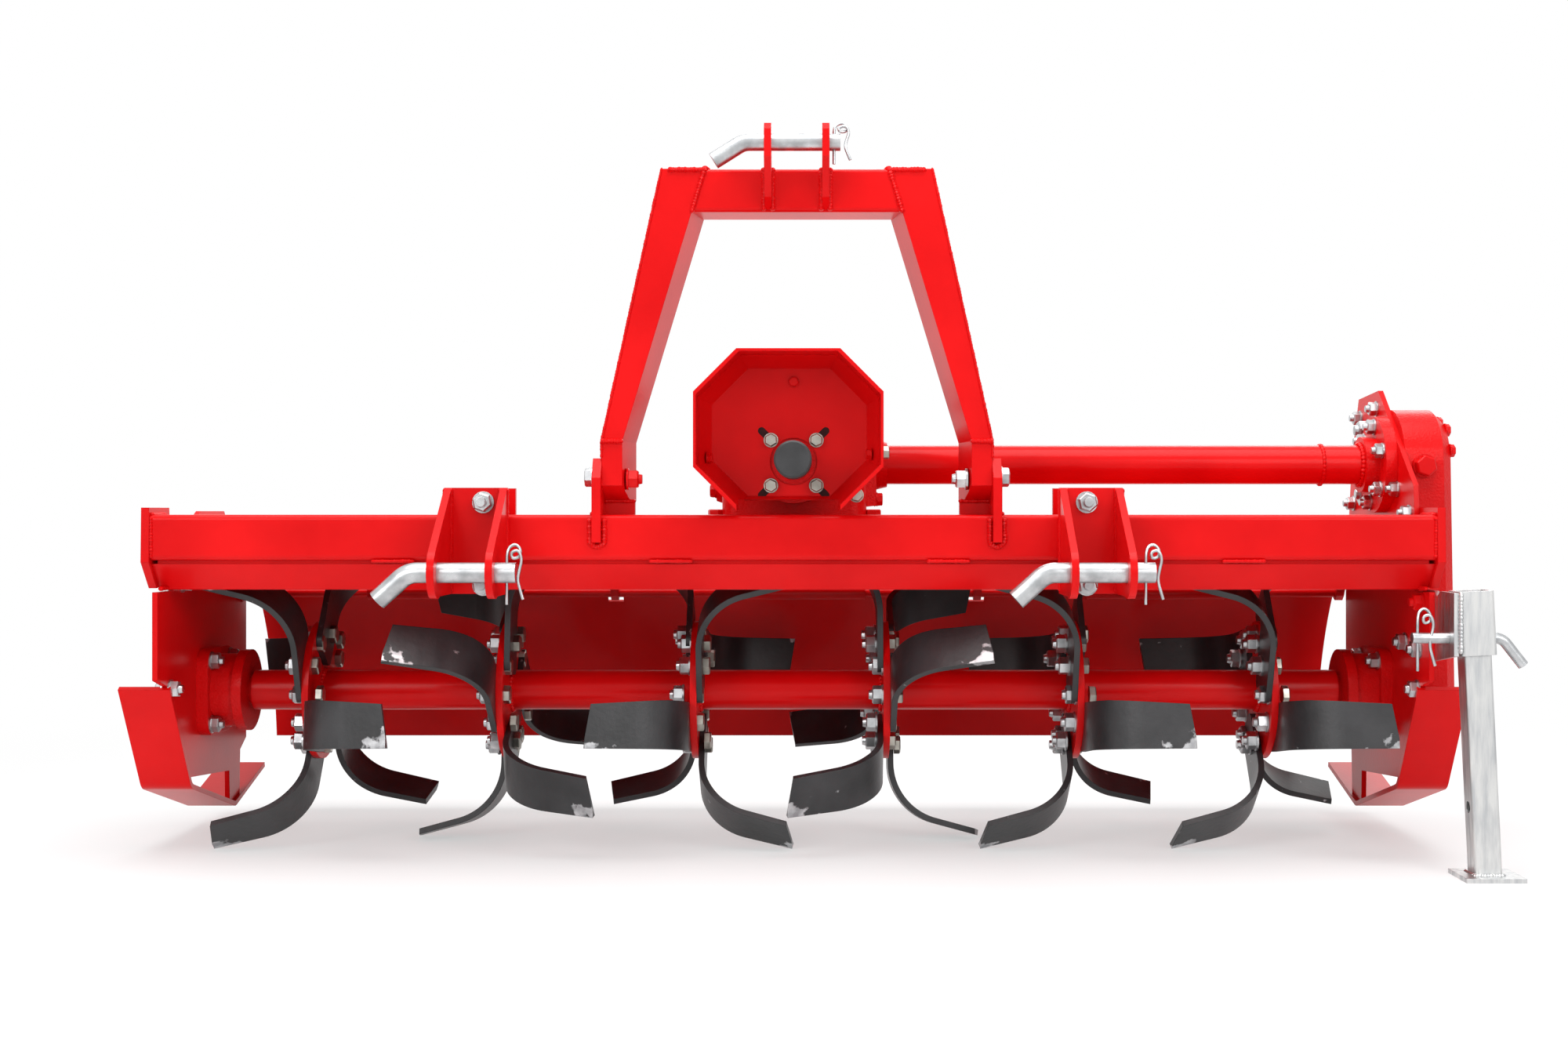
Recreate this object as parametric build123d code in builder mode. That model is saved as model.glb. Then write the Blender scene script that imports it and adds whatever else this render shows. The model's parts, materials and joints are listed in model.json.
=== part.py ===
"""Rotavator for a compact tractor: a hooded, chain-driven rotor with bolted tines, carried on a
three-point hitch. X runs across the machine, Y runs back from the hitch, Z is up. Millimetres."""

import os
from math import atan2, cos, degrees, hypot, radians, sin

from build123d import *

# Working width and the frame across it
HALF_WIDTH = 718.0          # machine centre to the outer face of a side plate
PLATE = 6.0                 # side plate thickness
SHEET = 4.0                 # deck sheet thickness
END_PLATE = 9.0             # thickness of the plates that close the bar's ends
BAR_HEIGHT = 51.0
BAR_DEPTH = 54.0
BAR_WALL = 5.0
BAR_BOTTOM = 347.0          # height of the bar's underside above the ground
REAR_REACH = 359.0          # bar front face to the rear edge of the side plates
ROOF_HEIGHT = 388.0         # top of the deck above the rotor

# Rotor
ROTOR_Y = 200.0
ROTOR_TUBE_RADIUS = 24.0
JOURNAL_RADIUS = 17.0
RUNNING_GAP = 0.05          # radial clearance of a shaft in its bearing
TINE_COUNT = 6
FLANGE_COUNT = 6
FLANGE_PITCH = 228.0
FLANGE_RADIUS = 83.0
FLANGE_THICKNESS = 8.0
TINE_WIDTH = 56.0
TINE_THICKNESS = 7.0
TINE_OFFSET = 48.0          # middle of the straight shank, ahead of the rotor's axis
TINE_ROOT = 16.0            # where the shank starts, along itself
TINE_SHANK_END = 88.0       # where the shank starts to bend
TINE_BEND_RADIUS = 72.0
TINE_BEND = 75.0            # degrees from the radial shank to the sideways blade
TINE_RUN = 58.0             # straight blade beyond the bend
TINE_TIP_CUT = 8.0          # how far the tip's trailing corner is cut back
TINE_TAPER = 6.0            # how much narrower the blade is at its tip
# Angle of the first tine's leading corner above the forward horizontal, and the side it points to
FLANGE_PHASES = [(-15, 1), (15, -1), (-15, -1), (15, 1), (-15, 1), (-15, 1)]

# Three-point hitch
MAST_X = 4.0                # the mast stands a little right of the machine's centre
MAST_TOP = 784.0
MAST_TOP_HALF = 151.0       # half width of the mast across its top
MAST_FOOT_HALF = 218.0      # half width across its feet
MAST_DEPTH = 66.0
MAST_BEAM_HEIGHT = 48.0
MAST_LEG_TOP_WIDTH = 48.0
MAST_LEG_FRONT_WIDTH = 23.0
MAST_LEG_SLANT = 10.0       # a leg is this much wider at its rear
MAST_LEG_KNEE = 480.0       # height at which a leg turns vertical
MAST_LEG_BOTTOM = 414.0
EAR_THICKNESS = 10.0
EAR_TOP = 461.0
LINK_PIN_RADIUS = 11.0
LINK_PIN_CLEARANCE = 0.3
LINK_EAR_THICKNESS = 8.0
LINK_GAP = 54.0             # clear space between the ears of a lower link bracket
LINK_SPREAD = 684.0         # between the centres of the two lower link brackets
LINK_OFFSET = -11.0         # the pair stands this far off the machine's centre
LINK_PIN_Y = -90.0
LINK_PIN_Z = 336.0
BRACKET_PLATE = 8.0
BRACKET_BOTTOM = 310.0
BRACKET_TOP = 428.0
TOP_PIN_RADIUS = 9.5
TOP_GAP = 56.0
TOP_PIN_Y = -24.0
TOP_PIN_RISE = 25.0         # middle of the top link pin above the mast's top

# Gearbox, drive tube and chain case
PTO_Z = 458.0
DRIVE_Y = 185.0
GEARBOX_SIZE = (170.0, 150.0, 128.0)
NECK_RADIUS = 47.0
SHIELD_BACK_Y = 30.0
SHIELD_FRONT_Y = -60.0
SHIELD_WIDTH = 207.0
SHIELD_X = -5.0             # the shield stands a little left of the shaft
SHIELD_HEIGHT = 176.0
SHIELD_CORNER = 47.0
SHIELD_WALL = 3.0
PTO_RADIUS = 17.45
CAP_RADIUS = 20.5
CAP_FRONT_Y = -78.0
DRIVE_TUBE_RADIUS = 23.5
CASE_THICKNESS = 57.0
CASE_TOP_RADIUS = 66.0
CASE_FOOT_RADIUS = 95.0
CASE_ROUND = 12.0           # bevel of the case's outer edge

# Rear flap
HINGE_Y = 374.0
HINGE_Z = 296.0
HINGE_ROD_RADIUS = 6.0
KNUCKLE_RADIUS = 9.5
KNUCKLE_LENGTH = 180.0
FLAP_INSET = 18.0           # flap's end inside the outer face of a side plate
FLAP_SHEET = 3.0
FLAP_FOOT = (462.0, 100.0)

# Skids
SKID_INSET = 10.0           # skid's inner edge inside the outer face of a side plate
SKID_WIDTH = 59.0
SKID_SHEET = 6.0
SKID_LINE = [(38.0, 199.0), (118.0, 76.0), (298.0, 29.0), (433.0, 62.0)]

# Parking stand
STAND_SPACE = 3.1           # room between the bracket and the leaning socket, at the pin's height
STAND_Y = -40.0
STAND_LEAN = 2.8            # degrees by which the stand leans outwards
STAND_TUBE = 30.0
STAND_WALL = 3.0
STAND_GAP = 0.8
SOCKET_WALL = 3.5
SOCKET_TOP = 315.0
SOCKET_BOTTOM = 245.0
STAND_PIN_Z = 263.0
STAND_PIN_RADIUS = 6.0
STAND_RAISED_HOLE = 78.0    # height of the hole that holds the raised stand
FOOT_SIZE = 65.0
FOOT_SHEET = 5.0
BRACKET_SHEET = 5.0         # plate that carries the socket

BAR_TOP = BAR_BOTTOM + BAR_HEIGHT
INNER_HALF = HALF_WIDTH - PLATE
FLAP_HALF = HALF_WIDTH - FLAP_INSET
SKID_INNER = HALF_WIDTH - SKID_INSET
TOP_PIN_Z = MAST_TOP + TOP_PIN_RISE
SOCKET_INNER = STAND_TUBE + 2 * STAND_GAP
SOCKET_OUTER = SOCKET_INNER + 2 * SOCKET_WALL
STAND_X = HALF_WIDTH + BRACKET_SHEET + STAND_SPACE + SOCKET_OUTER / 2
TINE_REACH = (
    TINE_SHANK_END
    + TINE_BEND_RADIUS * sin(radians(TINE_BEND))
    + TINE_RUN * cos(radians(TINE_BEND))
    + TINE_THICKNESS / 2 * sin(radians(TINE_BEND))
)
LEADING_EDGE = TINE_OFFSET + TINE_WIDTH / 2
CORNER_ANGLE = degrees(atan2(LEADING_EDGE, TINE_REACH))
GROUND_ANGLE = 15.0         # degrees from straight down to the corners that stand on the ground
ROTOR_Z = hypot(LEADING_EDGE, TINE_REACH) * cos(radians(GROUND_ANGLE))

pieces = {}


def keep(name, builder):
    """Label a finished piece and put it on the list of nodes."""
    builder.part.label = name
    pieces[name] = builder


def bent_sheet(points, radius, thickness, side=Side.LEFT):
    """Profile of a bent sheet that follows points."""
    with BuildSketch() as profile:
        with BuildLine():
            FilletPolyline(*points, radius=radius)
            offset(amount=thickness, side=side)
        make_face()
    return profile.sketch_local


def across(x_low, x_high):
    """Plane across the machine at x_low and the distance from it to x_high."""
    return Plane.YZ.offset(x_low), x_high - x_low


# Main bar with the plates that close its ends
with BuildPart() as main_bar:
    plane, length = across(-HALF_WIDTH, HALF_WIDTH)
    with BuildSketch(plane):
        with Locations((BAR_DEPTH / 2, BAR_BOTTOM + BAR_HEIGHT / 2)):
            RectangleRounded(BAR_DEPTH, BAR_HEIGHT, 6)
            RectangleRounded(
                BAR_DEPTH - 2 * BAR_WALL, BAR_HEIGHT - 2 * BAR_WALL, 3, mode=Mode.SUBTRACT
            )
    extrude(amount=length)
keep("main_bar", main_bar)

with BuildPart() as bar_end_plates:
    for side in (-1, 1):
        with BuildSketch(Plane.YZ.offset(side * HALF_WIDTH)):
            Polygon(
                (-4, BAR_BOTTOM - 2), (-2, BAR_TOP + 8), (BAR_DEPTH + 14, BAR_TOP + 8),
                (BAR_DEPTH + 20, BAR_BOTTOM), (BAR_DEPTH - 14, BAR_BOTTOM - 30), (24, BAR_BOTTOM - 32),
                align=None,
            )
        extrude(amount=side * END_PLATE)
keep("bar_end_plates", bar_end_plates)

# Deck: one bent sheet under the bar and over the rotor, down to the hinge of the flap
DECK_FRONT = BAR_BOTTOM - 34.0
DECK_LINE = [
    (9, BAR_BOTTOM - SHEET),
    (BAR_DEPTH + 4, BAR_BOTTOM - SHEET),
    (BAR_DEPTH + 60, ROOF_HEIGHT - SHEET),
    (ROTOR_Y + 72, ROOF_HEIGHT - SHEET),
    (HINGE_Y - KNUCKLE_RADIUS - 4, HINGE_Z + 6),
]
deck_profile = bent_sheet(DECK_LINE, 5, SHEET)
with BuildPart() as deck:
    plane, length = across(-INNER_HALF, INNER_HALF)
    with BuildSketch(plane):
        add(deck_profile)
    extrude(amount=length)
keep("deck", deck)

LIP_LINE = [(2, BAR_BOTTOM), (BAR_DEPTH - 20, DECK_FRONT), (BAR_DEPTH - 4, DECK_FRONT)]
lip_profile = bent_sheet(LIP_LINE, 4, SHEET)
with BuildPart() as front_lip:
    plane, length = across(-HALF_WIDTH, HALF_WIDTH)
    with BuildSketch(plane):
        add(lip_profile)
    extrude(amount=length)
    split(bisect_by=Plane.XY.offset(BAR_BOTTOM - SHEET), keep=Keep.BOTTOM)
keep("front_lip", front_lip)

# Side plates: both carry the rotor, and the right one rises to carry the drive
def skid_face(run, distance):
    """Point on the upper face of a skid, a distance along one of its runs."""
    start, end = Vector(*SKID_LINE[run]), Vector(*SKID_LINE[run + 1])
    way = (end - start).normalized()
    point = start + way * distance + Vector(-way.Y, way.X) * SKID_SHEET
    return point.X, point.Y


PLATE_FOOT = [
    (8, DECK_FRONT - 2), (8, 212), skid_face(0, 0), skid_face(0, 125), (130, 88), (284, 76),
    skid_face(1, 172), skid_face(2, 8), skid_face(2, 33), (332, 97),
    (REAR_REACH, 110), (REAR_REACH, 308),
]
PLATE_BEHIND_BAR = BAR_DEPTH + 10
for side, name in ((-1, "side_plate_left"), (1, "side_plate_right")):
    if side < 0:
        crest = [(262, ROOF_HEIGHT + 14), (167, ROOF_HEIGHT + 14), (150, BAR_TOP - 4)]
    else:
        crest = [(330, 470), (298, 543), (211, 549), (PLATE_BEHIND_BAR + 4, 432)]
    with BuildPart() as side_plate:
        with BuildSketch(Plane.YZ.offset(side * INNER_HALF)):
            Polygon(
                *PLATE_FOOT, *crest, (PLATE_BEHIND_BAR, BAR_TOP - 4), (PLATE_BEHIND_BAR, DECK_FRONT - 2),
                align=None,
            )
            with Locations((ROTOR_Y, ROTOR_Z)):
                Circle(JOURNAL_RADIUS + 4, mode=Mode.SUBTRACT)
        extrude(amount=side * PLATE)
    keep(name, side_plate)

# Skids: bent strips under both sides
skid_profile = bent_sheet(SKID_LINE, 22, SKID_SHEET)
for side, name in ((-1, "skid_left"), (1, "skid_right")):
    with BuildPart() as skid:
        low = SKID_INNER if side > 0 else -SKID_INNER - SKID_WIDTH
        with BuildSketch(Plane.YZ.offset(low)):
            add(skid_profile)
        extrude(amount=SKID_WIDTH)
    keep(name, skid)

# Mast: two tapering legs, each in an ear on the bar, and the beam between their tops
BEAM_BOTTOM = MAST_TOP - MAST_BEAM_HEIGHT
for side, name in ((-1, "mast_leg_left"), (1, "mast_leg_right")):
    outer_top = MAST_X + side * MAST_TOP_HALF
    outer_foot = MAST_X + side * MAST_FOOT_HALF
    inner_top = outer_top - side * MAST_LEG_TOP_WIDTH
    front_foot = outer_foot - side * MAST_LEG_FRONT_WIDTH
    rear_foot = front_foot - side * MAST_LEG_SLANT
    rear_top = inner_top - side * MAST_LEG_SLANT
    with BuildPart() as mast_leg:
        with BuildSketch(Plane.XY.offset(MAST_TOP)):
            Polygon(
                (outer_top, 0), (inner_top, 0), (rear_top, MAST_DEPTH), (outer_top, MAST_DEPTH),
                align=None,
            )
        with BuildSketch(Plane.XY.offset(MAST_LEG_KNEE)):
            Polygon(
                (outer_foot, 0), (front_foot, 0), (rear_foot, MAST_DEPTH), (outer_foot, MAST_DEPTH),
                align=None,
            )
        loft()
        with BuildSketch(Plane.XY.offset(MAST_LEG_BOTTOM)):
            Polygon(
                (outer_foot, 0), (front_foot, 0), (rear_foot, MAST_DEPTH), (outer_foot, MAST_DEPTH),
                align=None,
            )
        extrude(amount=MAST_LEG_KNEE - MAST_LEG_BOTTOM)
        with BuildSketch(Plane.YZ.offset(outer_foot - side * (MAST_LEG_TOP_WIDTH + 2))):
            Polygon(
                (-1, MAST_LEG_BOTTOM - 1), (-1, MAST_LEG_BOTTOM + 17), (MAST_DEPTH * 0.6, MAST_LEG_BOTTOM - 1),
                align=None,
            )
        extrude(amount=side * (MAST_LEG_TOP_WIDTH + 4), mode=Mode.SUBTRACT)
    keep(name, mast_leg)

with BuildPart() as mast_ears:
    for side in (-1, 1):
        foot = MAST_X + side * MAST_FOOT_HALF
        with BuildSketch(Plane.YZ.offset(foot)):
            Polygon(
                (-12, BAR_BOTTOM + 20), (-12, EAR_TOP - 22), (4, EAR_TOP), (MAST_DEPTH - 8, EAR_TOP),
                (MAST_DEPTH - 8, BAR_TOP), (0, BAR_TOP), (0, BAR_BOTTOM + 20),
                align=None,
            )
        extrude(amount=side * EAR_THICKNESS)
        with BuildSketch(Plane.XY.offset(BAR_TOP)):
            with Locations((foot - side * 17, BAR_DEPTH - 12)):
                Rectangle(34, 10)
        extrude(amount=MAST_LEG_BOTTOM - BAR_TOP - 1)
keep("mast_ears", mast_ears)

with BuildPart() as mast_beam:
    half = MAST_TOP_HALF - 20
    with BuildSketch(Plane.YZ.offset(MAST_X - half)):
        with Locations((MAST_DEPTH / 2, MAST_TOP - MAST_BEAM_HEIGHT / 2)):
            RectangleRounded(MAST_DEPTH, MAST_BEAM_HEIGHT, 5)
    extrude(amount=2 * half)
    add(pieces["mast_leg_left"].part, mode=Mode.SUBTRACT)
    add(pieces["mast_leg_right"].part, mode=Mode.SUBTRACT)
keep("mast_beam", mast_beam)

# Top link ears and their pin
with BuildPart() as top_link_ears:
    for side in (-1, 1):
        with BuildSketch(Plane.YZ.offset(MAST_X + side * TOP_GAP / 2)):
            Polygon(
                (0, BEAM_BOTTOM + 2), (-16, BEAM_BOTTOM + 14), (TOP_PIN_Y - 18, TOP_PIN_Z - 18),
                (TOP_PIN_Y - 18, TOP_PIN_Z + 12), (TOP_PIN_Y - 8, TOP_PIN_Z + 20),
                (TOP_PIN_Y + 12, TOP_PIN_Z + 20), (0, MAST_TOP),
                align=None,
            )
            with Locations((TOP_PIN_Y, TOP_PIN_Z)):
                Circle(TOP_PIN_RADIUS + LINK_PIN_CLEARANCE, mode=Mode.SUBTRACT)
        extrude(amount=side * LINK_EAR_THICKNESS)
keep("top_link_ears", top_link_ears)


def bent_pin(x_end, x_bend, y, z, radius, bend_radius, drop, handle):
    """Round pin along X from x_end to x_bend, with a handle that turns down by drop degrees."""
    way = 1 if x_bend > x_end else -1
    plane = Plane(origin=(x_end, y, z), x_dir=(way, 0, 0), z_dir=(0, -way, 0))
    straight = abs(x_bend - x_end)
    with BuildPart() as pin:
        with BuildLine(plane):
            shank = Line((0, 0), (straight, 0))
            turn = JernArc(shank @ 1, shank % 1, bend_radius, -drop)
            Line(turn @ 1, turn @ 1 + (turn % 1) * handle)
        with BuildSketch(Plane(origin=(x_end, y, z), z_dir=(way, 0, 0))):
            Circle(radius)
        sweep()
    return pin


PIN_OVERHANG = 30.0         # free end of a pin, drilled for its clip
half_fork = LINK_GAP / 2 + LINK_EAR_THICKNESS
for side, name in ((-1, "left"), (1, "right")):
    centre = LINK_OFFSET + side * LINK_SPREAD / 2
    with BuildPart() as bracket:
        with BuildSketch(Plane.XZ.offset(BRACKET_PLATE)):
            with Locations((centre, (BRACKET_TOP + BRACKET_BOTTOM) / 2)):
                Rectangle(2 * half_fork, BRACKET_TOP - BRACKET_BOTTOM)
        extrude(amount=-BRACKET_PLATE)
        for ear in (-1, 1):
            with BuildSketch(Plane.YZ.offset(centre + ear * LINK_GAP / 2)):
                with BuildLine():
                    Polyline(
                        (LINK_PIN_Y + 14, LINK_PIN_Z - 26), (-BRACKET_PLATE, BRACKET_BOTTOM),
                        (-BRACKET_PLATE, BRACKET_TOP), (LINK_PIN_Y - 14, LINK_PIN_Z + 22),
                    )
                    ThreePointArc(
                        (LINK_PIN_Y - 14, LINK_PIN_Z + 22), (LINK_PIN_Y - 22, LINK_PIN_Z - 12),
                        (LINK_PIN_Y + 14, LINK_PIN_Z - 26),
                    )
                make_face()
                with Locations((LINK_PIN_Y, LINK_PIN_Z)):
                    Circle(LINK_PIN_RADIUS + LINK_PIN_CLEARANCE, mode=Mode.SUBTRACT)
            extrude(amount=ear * LINK_EAR_THICKNESS)
    keep(f"hitch_bracket_{name}", bracket)

    with BuildPart() as clamp:
        with BuildSketch(Plane.XZ.offset(-BAR_DEPTH)):
            with Locations((centre, (BRACKET_TOP + BAR_BOTTOM + SHEET + 2) / 2)):
                Rectangle(2 * half_fork, BRACKET_TOP - BAR_BOTTOM - SHEET - 2)
        extrude(amount=-BRACKET_PLATE)
    keep(f"hitch_clamp_{name}", clamp)

    lower_pin = bent_pin(
        centre + half_fork + 22, centre - half_fork - 14, LINK_PIN_Y, LINK_PIN_Z,
        LINK_PIN_RADIUS, 26, 42, 34,
    )
    keep(f"lower_link_pin_{name}", lower_pin)

top_pin = bent_pin(
    MAST_X + TOP_GAP / 2 + LINK_EAR_THICKNESS + 12, MAST_X - TOP_GAP / 2 - LINK_EAR_THICKNESS - 16,
    TOP_PIN_Y, TOP_PIN_Z, TOP_PIN_RADIUS, 24, 32, 32,
)
keep("top_link_pin", top_pin)

# Gearbox on its mount, with the neck that carries the shield
with BuildPart() as gearbox:
    with BuildSketch(Plane.XY.offset(PTO_Z - GEARBOX_SIZE[2] / 2)):
        with Locations((0, DRIVE_Y)):
            RectangleRounded(GEARBOX_SIZE[0], GEARBOX_SIZE[1], 18)
    extrude(amount=GEARBOX_SIZE[2])
    chamfer(gearbox.faces().sort_by(Axis.Z)[-1].edges(), 9)
    with BuildSketch(Plane.XZ.offset(-SHIELD_BACK_Y - SHIELD_WALL)):
        with Locations((0, PTO_Z)):
            Circle(NECK_RADIUS)
    extrude(amount=-(DRIVE_Y - SHIELD_BACK_Y - SHIELD_WALL))
    with BuildSketch(Plane.XZ.offset(-SHIELD_BACK_Y - SHIELD_WALL)):
        with Locations((0, PTO_Z)):
            Circle(PTO_RADIUS + RUNNING_GAP)
    extrude(amount=-60, mode=Mode.SUBTRACT)
keep("gearbox", gearbox)

with BuildPart() as gearbox_mount:
    with BuildSketch(Plane.XY.offset(ROOF_HEIGHT)):
        with Locations((0, DRIVE_Y)):
            Rectangle(GEARBOX_SIZE[0] + 50, 150)
    extrude(amount=PTO_Z - GEARBOX_SIZE[2] / 2 - ROOF_HEIGHT)
keep("gearbox_mount", gearbox_mount)


def shield_outline(width, height, corner, z_centre):
    """Octagon of the shield in the open sketch, in its own plane."""
    half_w = width / 2
    half_h = height / 2
    with Locations((SHIELD_X, z_centre)):
        Polygon(
            (half_w, corner - half_h), (half_w, half_h - corner),
            (half_w - corner, half_h), (corner - half_w, half_h),
            (-half_w, half_h - corner), (-half_w, corner - half_h),
            (corner - half_w, -half_h), (half_w - corner, -half_h),
            align=None,
        )


SHIELD_CENTRE = BAR_TOP + 5 + SHIELD_HEIGHT / 2
SHIELD_TAPER = 26.0         # how much narrower the shield is at its back plate
with BuildPart() as pto_shield:
    for shrink, mode in ((0, Mode.ADD), (2 * SHIELD_WALL, Mode.SUBTRACT)):
        front = -SHIELD_FRONT_Y + (1 if shrink else 0)
        back = SHIELD_BACK_Y if shrink else SHIELD_BACK_Y + SHIELD_WALL
        with BuildSketch(Plane.XZ.offset(front)):
            shield_outline(SHIELD_WIDTH - shrink, SHIELD_HEIGHT - shrink, SHIELD_CORNER, SHIELD_CENTRE)
        with BuildSketch(Plane.XZ.offset(0)):
            shield_outline(SHIELD_WIDTH - shrink, SHIELD_HEIGHT - shrink, SHIELD_CORNER, SHIELD_CENTRE)
        with BuildSketch(Plane.XZ.offset(-back)):
            shield_outline(
                SHIELD_WIDTH - SHIELD_TAPER - shrink, SHIELD_HEIGHT - SHIELD_TAPER - shrink,
                SHIELD_CORNER - 6, SHIELD_CENTRE,
            )
        loft(ruled=True, mode=mode)
    with BuildSketch(Plane.XZ.offset(-SHIELD_FRONT_Y + 2)):
        with Locations((SHIELD_X, SHIELD_CENTRE - SHIELD_HEIGHT / 2)):
            Rectangle(SHIELD_WIDTH - 2 * SHIELD_CORNER, 24)
    extrude(amount=SHIELD_FRONT_Y - SHIELD_BACK_Y, mode=Mode.SUBTRACT)
    with BuildSketch(Plane.XZ.offset(-SHIELD_BACK_Y + 1)):
        with Locations((0, PTO_Z)):
            Circle(CAP_RADIUS + 6)
    extrude(amount=-SHIELD_WALL - 2, mode=Mode.SUBTRACT)
keep("pto_shield", pto_shield)

# Input shaft and the cap on its splines
with BuildPart() as pto_shaft:
    with BuildSketch(Plane.XZ.offset(-CAP_FRONT_Y - 6)):
        with Locations((0, PTO_Z)):
            Circle(PTO_RADIUS)
    extrude(amount=CAP_FRONT_Y + 6 - SHIELD_BACK_Y - SHIELD_WALL - 55)
keep("pto_shaft", pto_shaft)

with BuildPart() as pto_cap:
    with BuildSketch(Plane.XZ.offset(-CAP_FRONT_Y)):
        with Locations((0, PTO_Z)):
            Circle(CAP_RADIUS)
    extrude(amount=CAP_FRONT_Y - SHIELD_BACK_Y + 8)
    chamfer(pto_cap.faces().sort_by(Axis.Y)[0].edges(), 2)
    with BuildSketch(Plane.XZ.offset(-CAP_FRONT_Y - 5)):
        with Locations((0, PTO_Z)):
            Circle(PTO_RADIUS + LINK_PIN_CLEARANCE)
    extrude(amount=CAP_FRONT_Y - SHIELD_BACK_Y, mode=Mode.SUBTRACT)
keep("pto_cap", pto_cap)

# Drive tube from the gearbox to its flange on the right side plate
FLANGE_FACE = INNER_HALF - 14
with BuildPart() as drive_tube:
    with BuildSketch(Plane.YZ.offset(GEARBOX_SIZE[0] / 2)):
        with Locations((DRIVE_Y, PTO_Z)):
            Circle(DRIVE_TUBE_RADIUS)
    extrude(amount=FLANGE_FACE - 16 - GEARBOX_SIZE[0] / 2)
keep("drive_tube", drive_tube)

with BuildPart() as drive_flange:
    with BuildSketch(Plane.YZ.offset(FLANGE_FACE)):
        with Locations((DRIVE_Y, PTO_Z)):
            Circle(58)
    extrude(amount=INNER_HALF - FLANGE_FACE)
    with BuildSketch(Plane.YZ.offset(FLANGE_FACE - 16)):
        with Locations((DRIVE_Y, PTO_Z)):
            Circle(DRIVE_TUBE_RADIUS + 10)
    extrude(amount=16)
keep("drive_flange", drive_flange)

# Chain case on the outside of the right side plate
with BuildPart() as chain_case:
    with BuildSketch(Plane.YZ.offset(HALF_WIDTH)):
        with Locations((DRIVE_Y, PTO_Z)):
            Circle(CASE_TOP_RADIUS)
        with Locations((ROTOR_Y, ROTOR_Z)):
            Circle(CASE_FOOT_RADIUS)
        make_hull()
    extrude(amount=CASE_THICKNESS)
    chamfer(chain_case.faces().sort_by(Axis.X)[-1].edges(), CASE_ROUND)
keep("chain_case", chain_case)

# Rotor bearings
BEARING_LENGTH = 52.0
for side, name in ((-1, "rotor_bearing_left"), (1, "rotor_bearing_right")):
    with BuildPart() as bearing:
        with BuildSketch(Plane.YZ.offset(side * (INNER_HALF - 14))):
            with Locations((ROTOR_Y, ROTOR_Z)):
                RectangleRounded(104, 104, 22)
        extrude(amount=side * 14)
        with BuildSketch(Plane.YZ.offset(side * (INNER_HALF - BEARING_LENGTH))):
            with Locations((ROTOR_Y, ROTOR_Z)):
                Circle(44)
        extrude(amount=side * (BEARING_LENGTH - 14))
        with BuildSketch(Plane.YZ.offset(side * (INNER_HALF - BEARING_LENGTH))):
            with Locations((ROTOR_Y, ROTOR_Z)):
                Circle(49)
        extrude(amount=side * 12)
        with BuildSketch(Plane.YZ.offset(side * (INNER_HALF - BEARING_LENGTH - 1))):
            with Locations((ROTOR_Y, ROTOR_Z)):
                Circle(JOURNAL_RADIUS + RUNNING_GAP)
        extrude(amount=side * (BEARING_LENGTH + 2), mode=Mode.SUBTRACT)
    keep(name, bearing)

# Rotor: a tube with a journal at each end and the flanges that carry the tines
ROTOR_CENTRE = -5.0


def flange_x(index):
    """Middle of a flange along the rotor."""
    return ROTOR_CENTRE + (index - (FLANGE_COUNT - 1) / 2) * FLANGE_PITCH


TUBE_END = INNER_HALF - BEARING_LENGTH - 5
with BuildPart() as rotor_tube:
    with BuildSketch(Plane.YZ.offset(-TUBE_END)):
        with Locations((ROTOR_Y, ROTOR_Z)):
            Circle(ROTOR_TUBE_RADIUS)
    extrude(amount=2 * TUBE_END)
    for side in (-1, 1):
        with BuildSketch(Plane.YZ.offset(side * TUBE_END)):
            with Locations((ROTOR_Y, ROTOR_Z)):
                Circle(JOURNAL_RADIUS)
        extrude(amount=side * (BEARING_LENGTH - 2))
    for index in range(FLANGE_COUNT):
        with BuildSketch(Plane.YZ.offset(flange_x(index) - FLANGE_THICKNESS / 2)):
            with Locations((ROTOR_Y, ROTOR_Z)):
                Circle(FLANGE_RADIUS)
        extrude(amount=FLANGE_THICKNESS)
keep("rotor_tube", rotor_tube)

# One tine in its own axes: X sideways from the flange, Y along the shank, Z the way it moves
TRAILING = TINE_OFFSET - TINE_WIDTH / 2
with BuildPart() as tine:
    with BuildSketch(Plane.XY.offset(TRAILING)):
        with BuildLine():
            shank = Line((FLANGE_THICKNESS / 2, TINE_ROOT), (FLANGE_THICKNESS / 2, TINE_SHANK_END))
            bend = JernArc(shank @ 1, shank % 1, TINE_BEND_RADIUS + TINE_THICKNESS / 2, -TINE_BEND)
            Line(bend @ 1, bend @ 1 + (bend % 1) * TINE_RUN)
            offset(amount=TINE_THICKNESS, side=Side.RIGHT)
        make_face()
    extrude(amount=TINE_WIDTH)
    tip_x = tine.part.bounding_box().max.X
    with BuildSketch(Plane.XZ.offset(-TINE_SHANK_END)):
        Polygon(
            (TINE_BEND_RADIUS / 3, TRAILING), (tip_x - TINE_TIP_CUT, TRAILING + TINE_TAPER),
            (tip_x, TRAILING + TINE_WIDTH), (tip_x + 1, TRAILING + TINE_WIDTH),
            (tip_x + 1, TRAILING - 1), (TINE_BEND_RADIUS / 3, TRAILING - 1), align=None,
        )
    extrude(amount=-TINE_REACH, mode=Mode.SUBTRACT)
    fillet(tine.edges().filter_by(Axis.X).group_by(Axis.Y)[0], 12)
with BuildPart() as tine_left:
    add(mirror(tine.part, about=Plane.YZ))

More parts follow.
